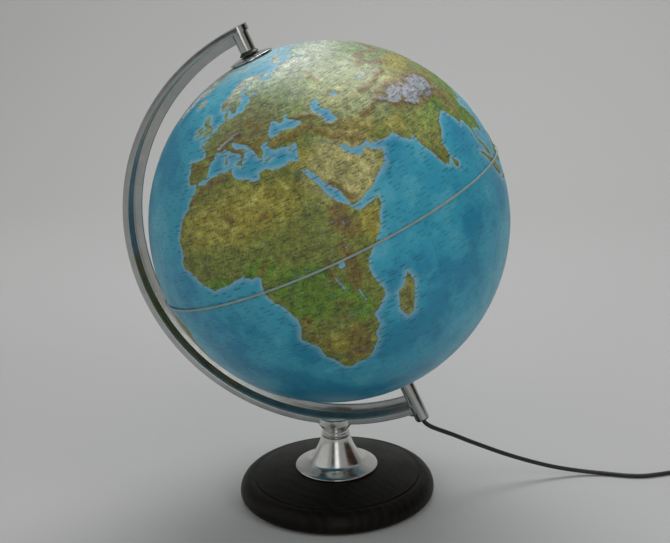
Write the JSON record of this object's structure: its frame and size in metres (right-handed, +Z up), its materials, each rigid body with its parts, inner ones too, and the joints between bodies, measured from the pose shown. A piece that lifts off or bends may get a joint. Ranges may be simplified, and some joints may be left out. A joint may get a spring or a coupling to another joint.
{
  "type": "desktop globe on stand",
  "caption": "Illuminated relief globe turning on a tilted axis in a half-round chrome arm, on a turned dark wood base with a mains cord.",
  "frame": {"origin": "middle of the flat underside of the base, on the surface that the globe stands on", "axes": "+Z up; +X towards the open side of the meridian arm, where the lamp tube and the cord leave; +Y to the back of the arm; the globe's axis leans 23.5 degrees from +Z towards -X"},
  "size_m": [0.6242, 0.3018, 0.4139],
  "materials": {
    "globe_map": "printed relief map, blue seas, green and ochre land",
    "seam_tape": "pale printed equator band",
    "arm_chrome": "polished, slightly softened chrome",
    "stand_chrome": "polished turned metal",
    "steel": "plain zinc-plated steel",
    "dark_wood": "black-brown stained and varnished turned wood",
    "felt": "green felt",
    "dark_plastic": "dark moulded plastic",
    "black_plastic": "black moulded plastic",
    "white_plastic": "off-white moulded plastic",
    "brass": "spun brass lamp cap",
    "plated_pin": "nickel-plated pins",
    "frosted_glass": "frosted glass",
    "black_rubber": "black PVC flex and rubber"
  },
  "bodies": {
    "stand": {"base_felt": "felt", "wooden_base": "dark_wood", "trumpet_foot": "stand_chrome", "neck_ring": "stand_chrome", "arm_saddle": "stand_chrome", "saddle_grub_screw": "steel", "bolt_washer": "steel", "tie_bolt": "steel", "meridian_arm": "arm_chrome", "north_collar": "dark_plastic", "north_pivot_pin": "steel", "lamp_tube": "arm_chrome", "tube_stop_collar": "arm_chrome", "cord_gland": "black_rubber", "lamp_holder": "dark_plastic", "bulb_cap": "brass", "bulb_glass": "frosted_glass", "cord_lead": "black_rubber", "switch_base": "black_plastic", "switch_cover": "black_plastic", "switch_screw_1": "steel", "switch_screw_2": "steel", "cord_middle": "black_rubber", "cord_coil": "black_rubber", "cord_tie": "dark_plastic", "cord_end": "black_rubber", "plug_body": "black_plastic", "plug_pin_1": "plated_pin", "plug_pin_2": "plated_pin"},
    "globe": {"northern_hemisphere": "globe_map", "southern_hemisphere": "globe_map", "equator_band": "seam_tape", "equator_joint_ring": "white_plastic", "north_hub": "white_plastic", "pole_disc": "arm_chrome", "south_bearing": "white_plastic"},
    "rocker": {"switch_rocker": "black_plastic"}
  },
  "joints": [
    {"name": "globe_spin", "type": "hinge", "parent": "stand", "child": "globe", "pos_m": [0, 0, 0.2479], "axis": [-0.3987, 0, 0.9171], "continuous": true},
    {"name": "switch_rocker_tilt", "type": "hinge", "parent": "stand", "child": "rocker", "pos_m": [0.36, 0.063, 0.0113], "axis": [0, 1, 0], "range_deg": [0, 16]}
  ]
}
